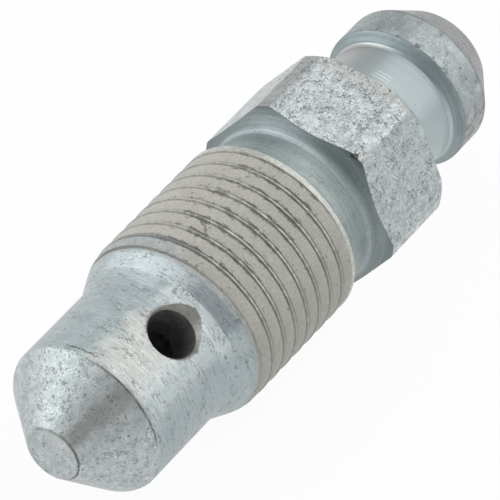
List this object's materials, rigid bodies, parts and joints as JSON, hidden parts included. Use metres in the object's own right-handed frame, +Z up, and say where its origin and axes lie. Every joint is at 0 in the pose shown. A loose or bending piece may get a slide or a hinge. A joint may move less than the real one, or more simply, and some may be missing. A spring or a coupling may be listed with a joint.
{
  "type": "bleed valve",
  "caption": "Hollow bleed screw with a sealing cone, a fine coated thread, a hexagon and a barbed hose nipple, lying on its side.",
  "frame": {"origin": "on the screw's axis, near the middle of the thread", "axes": "+X along the axis from the sealing cone towards the hose nipple, +Z up with one hexagon flat facing down, as the screw lies"},
  "size_m": [0.0334, 0.0108, 0.01],
  "materials": {
    "bleed_screw": "bright zinc plating with a faint blue passivation, turned faces satin, hexagon flats rough and mottled, small dark pits on cone and shank",
    "thread_sealant": "dry matt warm grey sealing coat"
  },
  "bodies": {
    "root": {"bleed_screw": "bleed_screw"}
  },
  "joints": []
}
